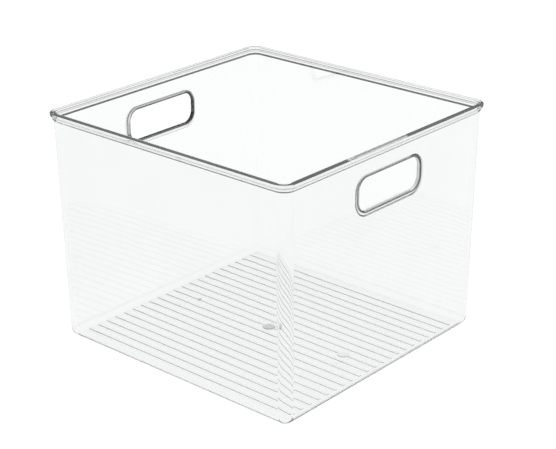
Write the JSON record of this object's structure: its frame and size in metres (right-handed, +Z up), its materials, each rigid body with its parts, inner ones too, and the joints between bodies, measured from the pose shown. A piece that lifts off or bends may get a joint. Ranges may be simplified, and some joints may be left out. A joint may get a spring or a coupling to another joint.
{
  "type": "fridge bin",
  "caption": "Open-topped square clear storage bin with slightly tapered walls, rounded corners, an outward lip, a ribbed floor and a collared hand slot in two opposite walls.",
  "frame": {"origin": "on the standing surface, under the middle of the bin", "axes": "+Z up; the walls with the hand slots face -X and +X; the floor ribs run along X; the plain walls face -Y and +Y"},
  "size_m": [0.254, 0.248, 0.196],
  "materials": {
    "clear_plastic": "polished clear, colourless, smooth on both faces"
  },
  "bodies": {
    "root": {"base_corner_back_left": "clear_plastic", "base_corner_back_right": "clear_plastic", "base_corner_front_left": "clear_plastic", "base_corner_front_right": "clear_plastic", "base_edge_back": "clear_plastic", "base_edge_front": "clear_plastic", "base_edge_left": "clear_plastic", "base_edge_right": "clear_plastic", "corner_post_back_left": "clear_plastic", "corner_post_back_right": "clear_plastic", "corner_post_front_left": "clear_plastic", "corner_post_front_right": "clear_plastic", "floor_panel": "clear_plastic", "handle_collar_left": "clear_plastic", "handle_collar_right": "clear_plastic", "rim_back": "clear_plastic", "rim_corner_back_left": "clear_plastic", "rim_corner_back_right": "clear_plastic", "rim_corner_front_left": "clear_plastic", "rim_corner_front_right": "clear_plastic", "rim_front": "clear_plastic", "rim_left": "clear_plastic", "rim_right": "clear_plastic", "wall_back": "clear_plastic", "wall_front": "clear_plastic", "wall_left": "clear_plastic", "wall_right": "clear_plastic"}
  },
  "joints": []
}
